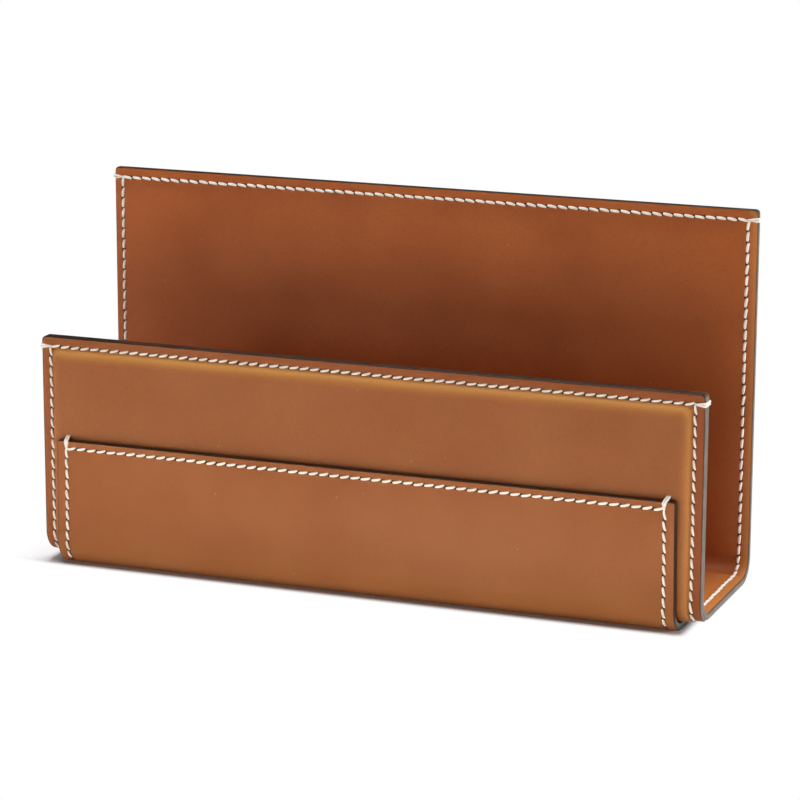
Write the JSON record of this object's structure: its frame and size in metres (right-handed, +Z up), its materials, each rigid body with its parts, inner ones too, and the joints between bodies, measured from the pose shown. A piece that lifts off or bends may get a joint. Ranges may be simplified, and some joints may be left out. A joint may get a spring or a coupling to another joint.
{
  "type": "letter holder",
  "caption": "U-shaped desk letter holder in stitched leather, open at both ends, with a tall back wall, a lower raised front panel and a flat front pocket.",
  "frame": {"origin": "on the table, under the middle of the holder's box", "axes": "+X along the holder's width, +Y from the front pocket to the back wall, +Z up"},
  "size_m": [0.255, 0.0724, 0.1395],
  "materials": {
    "saddle_leather": "smooth satin",
    "lining_leather": "smooth satin",
    "leather_board": "raw",
    "core_plate": "plain",
    "waxed_thread": "waxed"
  },
  "bodies": {
    "root": {"channel_lining": "lining_leather", "channel_core": "core_plate", "left_edge_strip": "leather_board", "right_edge_strip": "leather_board", "back_top_strip": "leather_board", "front_top_strip": "leather_board", "channel_cover": "saddle_leather", "front_filler": "leather_board", "front_panel": "saddle_leather", "pocket_lining": "lining_leather", "pocket_cover": "saddle_leather", "back_top_seam": "waxed_thread", "front_top_seam": "waxed_thread", "left_end_seam": "waxed_thread", "right_end_seam": "waxed_thread", "pocket_top_seam": "waxed_thread", "pocket_left_seam": "waxed_thread", "pocket_right_seam": "waxed_thread", "back_corner_wraps": "waxed_thread", "front_corner_wraps": "waxed_thread", "pocket_corner_wraps": "waxed_thread"}
  },
  "joints": []
}
